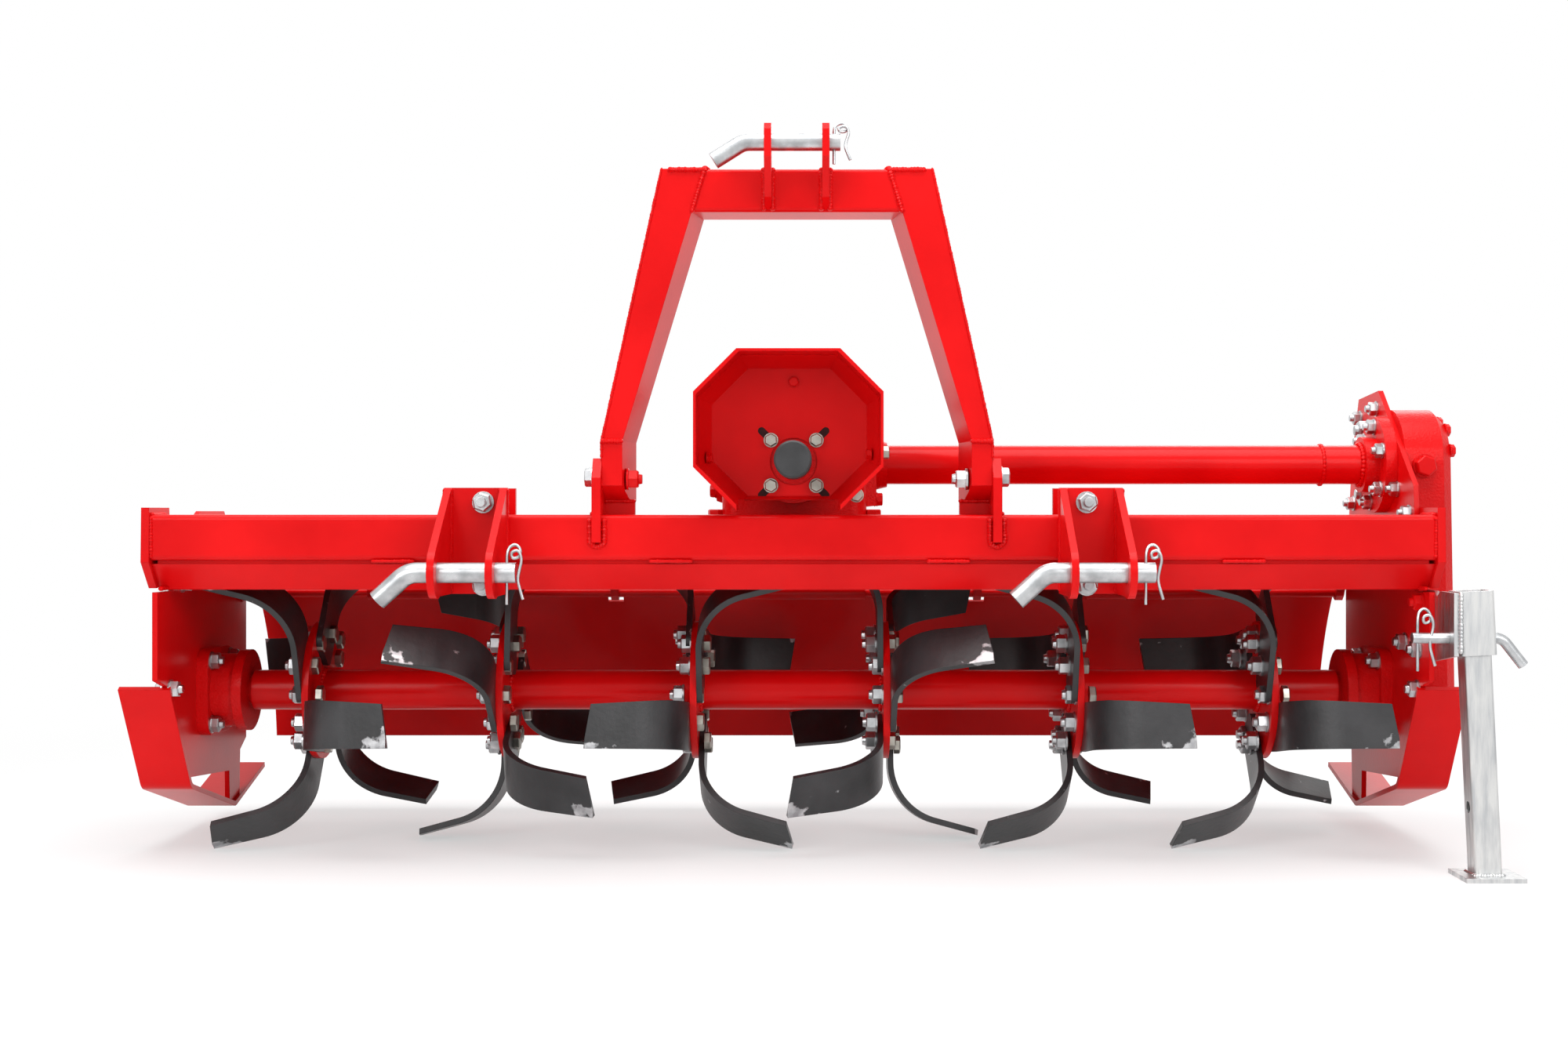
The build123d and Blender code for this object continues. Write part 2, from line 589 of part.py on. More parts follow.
for index, (phase, first_side) in enumerate(FLANGE_PHASES):
    with BuildPart() as tines:
        for turn in range(TINE_COUNT):
            angle = radians(phase + CORNER_ANGLE + turn * 360 / TINE_COUNT)
            side = first_side if turn % 2 == 0 else -first_side
            blade = tine if side > 0 else tine_left
            spoke = Plane(
                origin=(flange_x(index), ROTOR_Y, ROTOR_Z), x_dir=(1, 0, 0),
                z_dir=(0, -sin(angle), -cos(angle)),
            )
            with Locations(spoke.location):
                add(blade.part)
    keep(f"tines_{index + 1}", tines)

# Rear flap on its hinge rod
with BuildPart() as hinge_rod:
    with BuildSketch(Plane.YZ.offset(-INNER_HALF)):
        with Locations((HINGE_Y, HINGE_Z)):
            Circle(HINGE_ROD_RADIUS)
    extrude(amount=2 * INNER_HALF)
keep("hinge_rod", hinge_rod)

KNUCKLE_PLACES = (-FLAP_HALF * 2 / 3, 0, FLAP_HALF * 2 / 3)
LUG_THICKNESS = 10.0
LUG_END = INNER_HALF - 6
LUG_PLACES = (-LUG_END, -LUG_END / 3, LUG_END / 3, LUG_END)
with BuildPart() as hinge_lugs:
    for place in LUG_PLACES:
        with BuildSketch(Plane.YZ.offset(place - LUG_THICKNESS / 2)):
            Polygon(
                (HINGE_Y - 26, HINGE_Z + 20), (HINGE_Y - 4, HINGE_Z + 10), (HINGE_Y + 8, HINGE_Z + 6),
                (HINGE_Y + 9, HINGE_Z - 6), (HINGE_Y - 2, HINGE_Z - 10), (HINGE_Y - 10, HINGE_Z - 4),
                (HINGE_Y - 22, HINGE_Z + 14), align=None,
            )
            with Locations((HINGE_Y, HINGE_Z)):
                Circle(HINGE_ROD_RADIUS, mode=Mode.SUBTRACT)
        extrude(amount=LUG_THICKNESS)
    add(deck.part, mode=Mode.SUBTRACT)
keep("hinge_lugs", hinge_lugs)

with BuildPart() as rear_flap:
    with BuildSketch(Plane.YZ.offset(-FLAP_HALF)):
        with BuildLine():
            sheet_line = ThreePointArc(
                (HINGE_Y + 6, HINGE_Z - 6), (HINGE_Y + 60, HINGE_Z - 92), FLAP_FOOT,
            )
            offset(amount=FLAP_SHEET, side=Side.LEFT)
        make_face()
    extrude(amount=2 * FLAP_HALF)
    for place in LUG_PLACES[1:-1]:
        with BuildSketch(Plane.YZ.offset(place - LUG_THICKNESS)):
            with Locations((HINGE_Y, HINGE_Z)):
                Circle(KNUCKLE_RADIUS + 7)
        extrude(amount=2 * LUG_THICKNESS, mode=Mode.SUBTRACT)
    for place in KNUCKLE_PLACES:
        with BuildSketch(Plane.YZ.offset(place - KNUCKLE_LENGTH / 2)):
            with Locations((HINGE_Y, HINGE_Z)):
                Circle(KNUCKLE_RADIUS)
        extrude(amount=KNUCKLE_LENGTH)
    with BuildSketch(Plane.YZ.offset(-FLAP_HALF - 1)):
        with Locations((HINGE_Y, HINGE_Z)):
            Circle(HINGE_ROD_RADIUS + RUNNING_GAP)
    extrude(amount=2 * FLAP_HALF + 2, mode=Mode.SUBTRACT)
keep("rear_flap", rear_flap)

# Parking stand: a tube in a socket on the right, its foot flat on the ground
lean = radians(STAND_LEAN)
STAND_UP = (-sin(lean), 0, cos(lean))
STAND_SIDE = (cos(lean), 0, sin(lean))


def stand_plane(height):
    """Plane square to the leaning stand, at a height above the ground."""
    rise = (height - STAND_PIN_Z) / cos(lean)
    return Plane(
        origin=(STAND_X - rise * sin(lean), STAND_Y, height), x_dir=STAND_SIDE, z_dir=STAND_UP
    )


with BuildPart() as stand_socket:
    with BuildSketch(stand_plane(SOCKET_BOTTOM)):
        RectangleRounded(SOCKET_OUTER, SOCKET_OUTER, 4)
        RectangleRounded(SOCKET_INNER, SOCKET_INNER, 2, mode=Mode.SUBTRACT)
    extrude(amount=(SOCKET_TOP - SOCKET_BOTTOM) / cos(lean))
    with BuildSketch(Plane.YZ.offset(STAND_X)):
        with Locations((STAND_Y, STAND_PIN_Z)):
            Circle(STAND_PIN_RADIUS + LINK_PIN_CLEARANCE)
    extrude(amount=SOCKET_OUTER, both=True, mode=Mode.SUBTRACT)
keep("stand_socket", stand_socket)

with BuildPart() as stand_leg:
    with BuildSketch(stand_plane(-20)):
        RectangleRounded(STAND_TUBE, STAND_TUBE, 4)
        RectangleRounded(STAND_TUBE - 2 * STAND_WALL, STAND_TUBE - 2 * STAND_WALL, 2, mode=Mode.SUBTRACT)
    extrude(amount=(SOCKET_TOP - 2 + 20) / cos(lean))
    split(bisect_by=Plane.XY.offset(FOOT_SHEET), keep=Keep.TOP)
    for height in (STAND_PIN_Z, STAND_RAISED_HOLE):
        with BuildSketch(Plane.YZ.offset(stand_plane(height).origin.X)):
            with Locations((STAND_Y, height)):
                Circle(STAND_PIN_RADIUS + LINK_PIN_CLEARANCE)
        extrude(amount=SOCKET_OUTER, both=True, mode=Mode.SUBTRACT)
keep("stand_leg", stand_leg)

with BuildPart() as stand_foot:
    with BuildSketch(Plane.XY):
        with Locations((stand_plane(0).origin.X + 2, STAND_Y)):
            Rectangle(FOOT_SIZE, FOOT_SIZE)
    extrude(amount=FOOT_SHEET)
keep("stand_foot", stand_foot)

with BuildPart() as stand_bracket:
    front = STAND_Y - SOCKET_OUTER / 2
    with BuildSketch(Plane.YZ.offset(HALF_WIDTH)):
        Polygon(
            (front, SOCKET_TOP - 2), (-10, SOCKET_TOP - 2), (0, SOCKET_TOP - 8), (10, SOCKET_TOP - 2),
            (56, SOCKET_TOP - 2), (56, SOCKET_BOTTOM - 17), (front, SOCKET_BOTTOM - 1),
            align=None,
        )
        with Locations((STAND_Y, STAND_PIN_Z)):
            Circle(STAND_PIN_RADIUS + LINK_PIN_CLEARANCE, mode=Mode.SUBTRACT)
    extrude(amount=BRACKET_SHEET)
keep("stand_bracket", stand_bracket)

stand_pin = bent_pin(678, STAND_X + SOCKET_OUTER / 2 + 4, STAND_Y, STAND_PIN_Z, STAND_PIN_RADIUS, 16, 52, 30)
with BuildPart() as locking_pin:
    add(stand_pin.part)
    with BuildSketch(stand_plane(SOCKET_BOTTOM)):
        Rectangle(SOCKET_INNER, SOCKET_INNER)
    extrude(amount=(SOCKET_TOP - SOCKET_BOTTOM) / cos(lean), mode=Mode.SUBTRACT)
keep("stand_pin", locking_pin)

# The origin is at the bottom centre of the whole machine
corners = [piece.part.bounding_box() for piece in pieces.values()]
low = [min(getattr(box.min, axis) for box in corners) for axis in "XYZ"]
high = [max(getattr(box.max, axis) for box in corners) for axis in "XYZ"]
ORIGIN = Vector((low[0] + high[0]) / 2, (low[1] + high[1]) / 2, low[2])

os.makedirs("parts", exist_ok=True)
for node, piece in pieces.items():
    piece.part.position -= ORIGIN
    export_step(piece.part, f"parts/{node}.step")
print("nodes", len(pieces), "origin", ORIGIN, "rotor height", round(ROTOR_Z, 2))
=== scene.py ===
"""Looks of a rotavator for a compact tractor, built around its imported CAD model."""

import json
from math import cos, pi, radians, sin, sqrt
from random import Random

import bmesh
import bpy
import numpy as np
from mathutils import Matrix, Vector


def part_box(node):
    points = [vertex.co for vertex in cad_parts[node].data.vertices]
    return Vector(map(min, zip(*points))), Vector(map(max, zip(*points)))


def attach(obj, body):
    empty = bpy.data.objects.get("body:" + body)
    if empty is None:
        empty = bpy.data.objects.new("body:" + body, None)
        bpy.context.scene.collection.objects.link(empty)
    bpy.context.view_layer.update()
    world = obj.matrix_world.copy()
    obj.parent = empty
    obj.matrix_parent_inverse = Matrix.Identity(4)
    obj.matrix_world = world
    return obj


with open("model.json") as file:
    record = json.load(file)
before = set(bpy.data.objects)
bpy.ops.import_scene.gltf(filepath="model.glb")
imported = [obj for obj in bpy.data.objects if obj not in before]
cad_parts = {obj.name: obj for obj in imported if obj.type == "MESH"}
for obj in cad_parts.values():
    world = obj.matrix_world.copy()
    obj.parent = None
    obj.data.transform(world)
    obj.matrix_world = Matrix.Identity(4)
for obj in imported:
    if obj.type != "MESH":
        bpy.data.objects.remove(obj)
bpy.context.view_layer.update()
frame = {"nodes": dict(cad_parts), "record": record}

nodes = frame["nodes"]
bar_low, bar_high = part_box("main_bar")
MIDDLE = (bar_low.x + bar_high.x) / 2
FRONT = bar_low.y


def place(x, y, z):
    """Point at x from the machine's middle, y behind the bar's front face and z above the ground, in mm."""
    return Vector((MIDDLE + x / 1000, FRONT + y / 1000, z / 1000))


# Red powder coat: the frame, hood, drive housings and rotor tube are sprayed in one gloss red.
# The coat is smooth with a faint orange peel, rounds the plates' edges and is darker where it is thin.
def material(name, colour, roughness, metallic=0.0):
    """New node material with its shader's constants set, its node tree and its shader."""
    made = bpy.data.materials.new(name)
    made.use_nodes = True
    shader = made.node_tree.nodes["Principled BSDF"]
    shader.inputs["Base Color"].default_value = (*colour, 1)
    shader.inputs["Roughness"].default_value = roughness
    shader.inputs["Metallic"].default_value = metallic
    return made, made.node_tree, shader


def noise_on(tree, scale, detail=3.0, stretch=(1, 1, 1)):
    """Noise over the object's own coordinates, in metres."""
    coordinates = tree.nodes.new("ShaderNodeTexCoord")
    mapping = tree.nodes.new("ShaderNodeMapping")
    mapping.inputs["Scale"].default_value = stretch
    noise = tree.nodes.new("ShaderNodeTexNoise")
    noise.inputs["Scale"].default_value = scale
    noise.inputs["Detail"].default_value = detail
    tree.links.new(coordinates.outputs["Object"], mapping.inputs["Vector"])
    tree.links.new(mapping.outputs["Vector"], noise.inputs["Vector"])
    return noise.outputs["Fac"]


def ramp(tree, value, low, high, place_low=0.35, place_high=0.65):
    """Colours from low to high as a value rises."""
    made = tree.nodes.new("ShaderNodeValToRGB")
    first, last = made.color_ramp.elements
    first.position, first.color = place_low, (*low, 1)
    last.position, last.color = place_high, (*high, 1)
    tree.links.new(value, made.inputs["Fac"])
    return made.outputs["Color"]


def bump(tree, shader, height, strength, distance, edge):
    """Bump from a height, over edges that look rounded by edge metres."""
    made = tree.nodes.new("ShaderNodeBump")
    made.inputs["Strength"].default_value = strength
    made.inputs["Distance"].default_value = distance
    tree.links.new(height, made.inputs["Height"])
    rounded = tree.nodes.new("ShaderNodeBevel")
    rounded.samples = 4
    rounded.inputs["Radius"].default_value = edge
    tree.links.new(rounded.outputs["Normal"], made.inputs["Normal"])
    tree.links.new(made.outputs["Normal"], shader.inputs["Normal"])


def red_coat(name, grain, strength, distance, roughness):
    """Red paint over a surface with a grain."""
    paint, tree, shader = material(name, (0.70, 0.004, 0.005), roughness)
    shader.inputs["Specular IOR Level"].default_value = 0.10
    shader.inputs["Coat Weight"].default_value = 0.07
    shader.inputs["Coat Roughness"].default_value = 0.10
    tree.links.new(ramp(tree, noise_on(tree, 7.0, 4.0), (0.60, 0.002, 0.003), (0.72, 0.005, 0.006)),
                   shader.inputs["Base Color"])
    bump(tree, shader, noise_on(tree, grain, 2.0), strength, distance, edge=0.0012)
    return paint


def coated(names, coat):
    """Give these CAD pieces their coat."""
    for name in names:
        nodes[name].data.materials.clear()
        nodes[name].data.materials.append(coat)


red_paint = red_coat("red_paint", grain=260.0, strength=0.12, distance=0.0008, roughness=0.30)
painted = [row["node"] for row in frame["record"]["subparts"] if row["material_slot"] == "red_paint"]
coated(painted, red_paint)

# Castings: the gearbox, the rotor's bearing housings, the drive flange and the chain case have the
# skin of cast iron under the same red. The sand's grain shows through the coat.
red_casting = red_coat("red_casting", grain=420.0, strength=0.45, distance=0.0016, roughness=0.36)
coated(["gearbox", "rotor_bearing_left", "rotor_bearing_right", "drive_flange", "chain_case"], red_casting)


# Zinc: pins, clips, nuts and bolts are bright zinc plated, with faint clouds in the plate.
# Bolt heads have a duller and slightly yellower plate than the nuts.
def zinc_coat(name, low, high, roughness, stretch=(1, 1, 1), scale=55.0):
    """Zinc plate with clouds of tone from low to high."""
    plate, tree, shader = material(name, high, roughness, metallic=1.0)
    clouds = noise_on(tree, scale, 5.0, stretch)
    tree.links.new(ramp(tree, clouds, low, high), shader.inputs["Base Color"])
    dull, bright = (roughness + 0.1,) * 3, (roughness - 0.05,) * 3
    tree.links.new(ramp(tree, clouds, dull, bright), shader.inputs["Roughness"])
    bump(tree, shader, noise_on(tree, scale * 7, 2.0, stretch), strength=0.06, distance=0.0005, edge=0.0006)
    return plate


bright_zinc = zinc_coat("bright_zinc", (0.36, 0.37, 0.38), (0.60, 0.61, 0.62), 0.32)
dull_zinc = zinc_coat("dull_zinc", (0.30, 0.285, 0.25), (0.46, 0.44, 0.39), 0.34)
coated(["lower_link_pin_left", "lower_link_pin_right", "top_link_pin", "stand_pin"], bright_zinc)


def set_at(spot, way, turn=0.0):
    """Frame at spot whose Z runs along way."""
    aim = Vector(way).to_track_quat("Z", "Y").to_matrix().to_4x4()
    return Matrix.Translation(spot) @ aim @ Matrix.Rotation(turn, 4, "Z")


stamps = {}


def stamped(parts, base, key, make):
    """Add to parts the small mesh that make gives, at base; it is made once for each key."""
    if key not in stamps:
        shape = bmesh.new()
        make(shape)
        bmesh.ops.recalc_face_normals(shape, faces=shape.faces)
        stamps[key] = bpy.data.meshes.new("stamp")
        shape.to_mesh(stamps[key])
        shape.free()
    parts.append((stamps[key], base))


def block(shape, radius, top, height, sides):
    """Round or many-sided block on the origin of a bmesh, with its axis along Z; sizes in mm."""
    bmesh.ops.create_cone(
        shape, cap_ends=True, segments=sides, radius1=radius / 1000, radius2=top / 1000,
        depth=height / 1000, matrix=Matrix.Translation((0, 0, height / 2000)))


def disc(parts, base, radius, height, sides=24, top=None):
    """Round or many-sided block that stands on base, a frame whose Z is its axis; sizes in mm."""
    top = radius if top is None else top
    stamped(parts, base, ("disc", radius, height, sides, top),
            lambda shape: block(shape, radius, top, height, sides))


def hexagon(parts, base, across, height, washer=0.0, stud=0.0):
    """Nut or bolt head with a bevelled top, on its washer, and the bolt's end where it is a nut."""
    if washer:
        disc(parts, base, across * 0.64, washer, sides=20)

    def make(shape):
        block(shape, across / sqrt(3), across / sqrt(3), height, 6)
        rim = [edge for edge in shape.edges if all(end.co.z > height / 2000 for end in edge.verts)]
        bmesh.ops.bevel(shape, geom=rim, offset=across * 0.07 / 1000, affect="EDGES",
                        segments=1, profile=0.5, material=-1)

    seat = base @ Matrix.Translation((0, 0, washer / 1000))
    stamped(parts, seat, ("hexagon", across, height), make)
    if stud:
        face = seat @ Matrix.Translation((0, 0, height / 1000))
        disc(parts, face, across * 0.32, stud, sides=14, top=across * 0.27)


def finished(parts, name, coat, body):
    """Piece from stamped parts, with its coat, on the body it moves with."""
    points, corners, starts = [], [], []
    point_count = corner_count = 0
    for small, base in parts:
        spots = np.empty(len(small.vertices) * 3)
        small.vertices.foreach_get("co", spots)
        turn = np.array(base.to_3x3())
        points.append(spots.reshape(-1, 3) @ turn.T + np.array(base.translation))
        ends = np.empty(len(small.loops), dtype=np.int32)
        small.loops.foreach_get("vertex_index", ends)
        corners.append(ends + point_count)
        begins = np.empty(len(small.polygons), dtype=np.int32)
        small.polygons.foreach_get("loop_start", begins)
        starts.append(begins + corner_count)
        point_count += len(small.vertices)
        corner_count += len(small.loops)
    starts = np.concatenate(starts)
    mesh = bpy.data.meshes.new(name)
    mesh.vertices.add(point_count)
    mesh.vertices.foreach_set("co", np.concatenate(points).ravel())
    mesh.loops.add(corner_count)
    mesh.loops.foreach_set("vertex_index", np.concatenate(corners))
    mesh.polygons.add(len(starts))
    mesh.polygons.foreach_set("loop_start", starts)
    mesh.update(calc_edges=True)
    mesh.validate()
    mesh.shade_smooth()
    mesh.set_sharp_from_angle(angle=radians(38))
    mesh.materials.append(coat)
    piece = bpy.data.objects.new(name, mesh)
    bpy.context.scene.collection.objects.link(piece)
    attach(piece, body)


# Clips: each hitch pin and the stand's pin is held by a sprung clip of 3.4 mm wire, bent to a loop,
# with one leg through the hole in the pin's free end.
WIRE_RADIUS = 1.7
LINK_MIDDLE = -11           # halfway between the two lower link brackets
LINK_HALF = 342             # from there to the middle of a bracket
LINK_PIN = (-90, 336)       # depth and height of the lower link pins
LINK_CLIP = 47              # middle of a bracket to its pin's clip
MAST_MIDDLE = 4
TOP_PIN = (-24, 809)
TOP_CLIP = 41
STAND_CLIP = (684, -40, 263)


def clip(name, spot, length):
    """Sprung clip with its straight leg down through spot, and its loop to the right."""
    line = [(0, 0, -length * 0.55), (0, 0, 0), (0, 0, length * 0.30), (2, 2, length * 0.44),
            (9, 3, length * 0.50), (15, 2, length * 0.40), (14, -1, length * 0.27), (6, -3, length * 0.24),
            (5, -3, length * 0.36), (13, -4, length * 0.40), (17, -4, length * 0.24), (14, -4, length * 0.05),
            (12, -4, -length * 0.12), (15, -4, -length * 0.30), (18, -4, -length * 0.46)]
    wire = bpy.data.curves.new(name, "CURVE")
    wire.dimensions = "3D"
    wire.bevel_depth = WIRE_RADIUS / 1000
    wire.bevel_resolution = 3
    wire.resolution_u = 6
    wire.use_fill_caps = True
    spline = wire.splines.new("NURBS")
    spline.points.add(len(line) - 1)
    for point, bend in zip(spline.points, line):
        point.co = (*(spot + Vector(bend) / 1000), 1)
    spline.order_u = 3
    spline.use_endpoint_u = True
    wire.materials.append(bright_zinc)
    piece = bpy.data.objects.new(name, wire)
    bpy.context.scene.collection.objects.link(piece)
    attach(piece, "frame")


for side, name in ((-1, "left_link_clip"), (1, "right_link_clip")):
    clip(name, place(LINK_MIDDLE + side * LINK_HALF + LINK_CLIP, *LINK_PIN), 62)
clip("top_link_clip", place(MAST_MIDDLE + TOP_CLIP, *TOP_PIN), 44)
clip("stand_clip", place(*STAND_CLIP), 66)

# Rotor fasteners: every tine is held to its flange by two M12 bolts, so each flange has a ring of
# twelve. The nuts are on the left and the heads on the right, whichever side the tine lies on.
LEFT, RIGHT, AHEAD, BEHIND, UP = (-1, 0, 0), (1, 0, 0), (0, -1, 0), (0, 1, 0), (0, 0, 1)
tube_low, tube_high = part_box("rotor_tube")
rotor_axis = (tube_low + tube_high) / 2
ROTOR_HEIGHT = rotor_axis.z * 1000
ROTOR_DEPTH = 200
ROTOR_MIDDLE = -5
FLANGE_PITCH = 228
FLANGE_HALF = 4             # half the thickness of a flange
FLANGE_BOLTS = 12
BOLT_CIRCLE = 67
TINE_SHEET = 7
# Angle of each flange's first tine above straight ahead, and the side it lies on
FLANGE_PHASES = [(-15, 1), (15, -1), (-15, -1), (15, 1), (-15, 1), (-15, 1)]
# Across the flats, height, washer and the bolt's end beyond the nut
M12_NUT = (19, 11, 2.2, 4)
M12_HEAD = (19, 8)


def on_circle(y, z, radius, angle):
    """Depth and height on a circle that faces sideways, at an angle up from straight ahead."""
    return y - radius * cos(angle), z + radius * sin(angle)


def fasten(parts, spot, way, turn, *size):
    """Nut or bolt head at spot, given as for place, that points along way."""
    hexagon(parts, set_at(place(*spot), way, turn), *size)


def flange_middle(index):
    """How far right of the machine's middle a tine flange stands; the leftmost has index 0."""
    return ROTOR_MIDDLE + (index - (len(FLANGE_PHASES) - 1) / 2) * FLANGE_PITCH


rotor_nuts, rotor_heads = [], []
turns = Random(4)
for index, (phase, first_side) in enumerate(FLANGE_PHASES):
    for bolt in range(FLANGE_BOLTS):
        # For an odd bolt this names the side without the tine, where bolt // 2 would name the other
        tine_side = first_side if (bolt + 1) // 2 % 2 == 0 else -first_side
        left = flange_middle(index) - FLANGE_HALF - (TINE_SHEET if tine_side < 0 else 0)
        right = flange_middle(index) + FLANGE_HALF + (TINE_SHEET if tine_side > 0 else 0)
        angle = radians(phase - (bolt + 0.5) * 360 / FLANGE_BOLTS)
        seat = on_circle(ROTOR_DEPTH, ROTOR_HEIGHT, BOLT_CIRCLE, angle)
        fasten(rotor_nuts, (left, *seat), LEFT, turns.uniform(0, pi / 3), *M12_NUT)
        fasten(rotor_heads, (right, *seat), RIGHT, turns.uniform(0, pi / 3), *M12_HEAD)
finished(rotor_nuts, "rotor_nuts", bright_zinc, "rotor")
finished(rotor_heads, "rotor_bolt_heads", dull_zinc, "rotor")

# Tines: forged spring steel under a thin black paint. It is rubbed off to bare, lightly scratched
# metal at the tips and along the outer edge, and chipped elsewhere.
WEAR_START, WEAR_END = 0.178, 0.193     # distances from the rotor's axis, in metres
BLACK_LOW, BLACK_HIGH = (0.012, 0.012, 0.013), (0.030, 0.030, 0.032)
STEEL_LOW, STEEL_HIGH = (0.30, 0.30, 0.31), (0.55, 0.55, 0.56)


def worked_out(tree, kind, operation, *values, gives="Value"):
    """Output of a new math node for values, each a socket or a constant."""
    made = tree.nodes.new(kind)
    made.operation = operation
    for socket, value in zip(made.inputs, values):
        if isinstance(value, bpy.types.NodeSocket):
            tree.links.new(value, socket)
        else:
            socket.default_value = value
    return made.outputs[gives]


tine_coat, tree, shader = material("tine_coat", (0.016, 0.016, 0.017), 0.38)
here = tree.nodes.new("ShaderNodeTexCoord").outputs["Object"]
from_axis = worked_out(tree, "ShaderNodeVectorMath", "SUBTRACT", here, rotor_axis, gives="Vector")
outwards = worked_out(tree, "ShaderNodeVectorMath", "MULTIPLY", from_axis, (0, 1, 1), gives="Vector")
reach = worked_out(tree, "ShaderNodeVectorMath", "LENGTH", outwards)
worn = tree.nodes.new("ShaderNodeMapRange")
worn.inputs["From Min"].default_value = WEAR_START
worn.inputs["From Max"].default_value = WEAR_END
worn.inputs["To Max"].default_value = 0.42
tree.links.new(reach, worn.inputs["Value"])
chips = worked_out(tree, "ShaderNodeMath", "ADD", worn.outputs["Result"], noise_on(tree, 60.0, 6.0))
bare = ramp(tree, chips, (0, 0, 0), (1, 1, 1), 0.70, 0.76)
black = ramp(tree, noise_on(tree, 18.0, 4.0), BLACK_LOW, BLACK_HIGH)
steel = ramp(tree, noise_on(tree, 90.0, 4.0), STEEL_LOW, STEEL_HIGH)
# A Mix node's colours are its inputs 6 and 7 and its output 2
tone = tree.nodes.new("ShaderNodeMix")
tone.data_type = "RGBA"
tree.links.new(bare, tone.inputs["Factor"])
tree.links.new(black, tone.inputs[6])
tree.links.new(steel, tone.inputs[7])
tree.links.new(tone.outputs[2], shader.inputs["Base Color"])
tree.links.new(bare, shader.inputs["Metallic"])
bump(tree, shader, noise_on(tree, 170.0, 4.0), strength=0.22, distance=0.0010, edge=0.0012)
coated([f"tines_{index}" for index in range(1, 7)], tine_coat)

# Welds: the frame, hood and rotor are joined by hand-laid beads, painted over with the rest.
# A bead is a row of overlapping ripples, a little uneven in width.
hand = Random(11)
ROTOR_TUBE = 24             # radius of the tube between the flanges
RING_RUNS = 32              # straight runs in a bead round a tube


def ripple_shape(shape):
    """One ripple, as wide as it is long."""
    bmesh.ops.create_uvsphere(shape, u_segments=8, v_segments=5, radius=1)


def bead(parts, points, width, step=3.4):
    """Weld bead along points, a ripple every step; width and step in mm."""
    for start, end in zip(points, points[1:]):
        run = end - start
        count = max(1, round(run.length * 1000 / step))
        aim = run.to_track_quat("X", "Z").to_matrix().to_4x4()
        for ripple in range(count):
            wide = width * hand.uniform(0.42, 0.56) / 1000
            spot = start.lerp(end, (ripple + 0.5) / count)
            size = Matrix.Diagonal((step * 0.95 / 1000, wide, wide * 0.8, 1))
            stamped(parts, Matrix.Translation(spot) @ aim @ size, "ripple", ripple_shape)


def ring_bead(parts, x, y, z, radius, width):
    """Weld bead round a tube that lies across the machine."""
    angles = [2 * pi * run / RING_RUNS for run in range(RING_RUNS + 1)]
    bead(parts, [place(x, *on_circle(y, z, radius, angle)) for angle in angles], width)


rotor_welds = []
for index in range(len(FLANGE_PHASES)):
    for face in (-FLANGE_HALF - 0.5, FLANGE_HALF + 0.5):
        ring_bead(rotor_welds, flange_middle(index) + face, ROTOR_DEPTH, ROTOR_HEIGHT, ROTOR_TUBE + 1, 7)
finished(rotor_welds, "rotor_welds", red_paint, "rotor")

HALF_WIDTH, INNER_HALF = 718, 712       # machine's middle to the faces of a side plate
BAR_BOTTOM, BAR_TOP, BAR_DEPTH = 347, 398, 54
MAST_TOP, MAST_KNEE, MAST_FOOT = 784, 480, 414
MAST_DEPTH, BEAM_HEIGHT = 66, 48
LEG_TOP, LEG_KNEE = (151, 103), (218, 195)      # mast's middle to a leg's outer and inner edge
EAR_TOP, EAR_FOOT = 461, 366            # plate that carries a leg on the bar
BRACKET_LOW, BRACKET_HIGH = 314, 426    # ends of the beads on a lower link bracket
DRIVE_DEPTH, DRIVE_HEIGHT = 185, 458    # axis of the drive tube
frame_welds = []


def seam(width, *corners):
    """Bead on the frame through corners, each given as for place."""
    bead(frame_welds, [place(*corner) for corner in corners], width)


